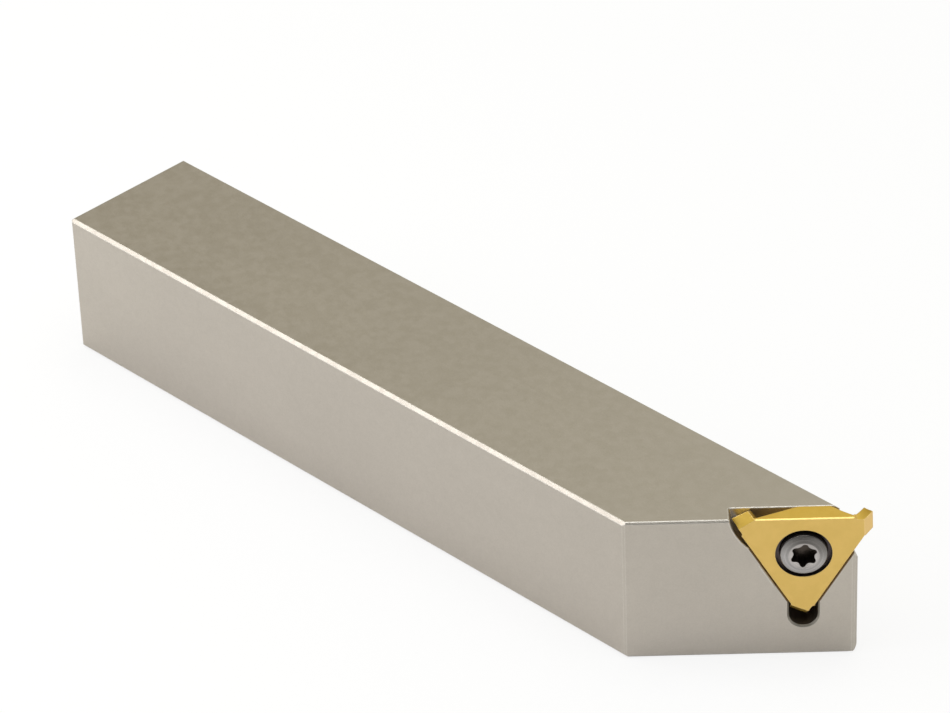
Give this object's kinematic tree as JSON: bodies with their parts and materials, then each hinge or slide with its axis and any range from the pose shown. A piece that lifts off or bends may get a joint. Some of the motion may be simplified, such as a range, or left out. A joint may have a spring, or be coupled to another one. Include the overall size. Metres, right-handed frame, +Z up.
{
  "type": "turning tool holder",
  "caption": "Square-shank turning tool holder with a 45 degree head, a triangular toothed grooving insert in a side pocket and a countersunk clamp screw.",
  "frame": {"origin": "on the shank's base face, half way along the shank's length and half way across its width", "axes": "+X along the shank towards the cutting end, +Z up from the base to the cutting height, +Y towards the side that the cutting tooth stands out of"},
  "size_m": [0.15, 0.0274, 0.0258],
  "materials": {
    "holder_steel": "satin nickel-toned finish on ground steel",
    "insert_coating": "satin gold-coloured hard coating",
    "screw_steel": "satin hardened steel"
  },
  "bodies": {
    "holder": {"holder_body": "holder_steel", "cutting_insert": "insert_coating"},
    "screw": {"clamp_screw": "screw_steel"}
  },
  "joints": [
    {"name": "clamp_screw_turn", "type": "hinge", "parent": "holder", "child": "screw", "pos_m": [0.06914, 0.00641, 0.01865], "axis": [0.7071, -0.7071, 0], "range_deg": [0, 1650]}
  ]
}
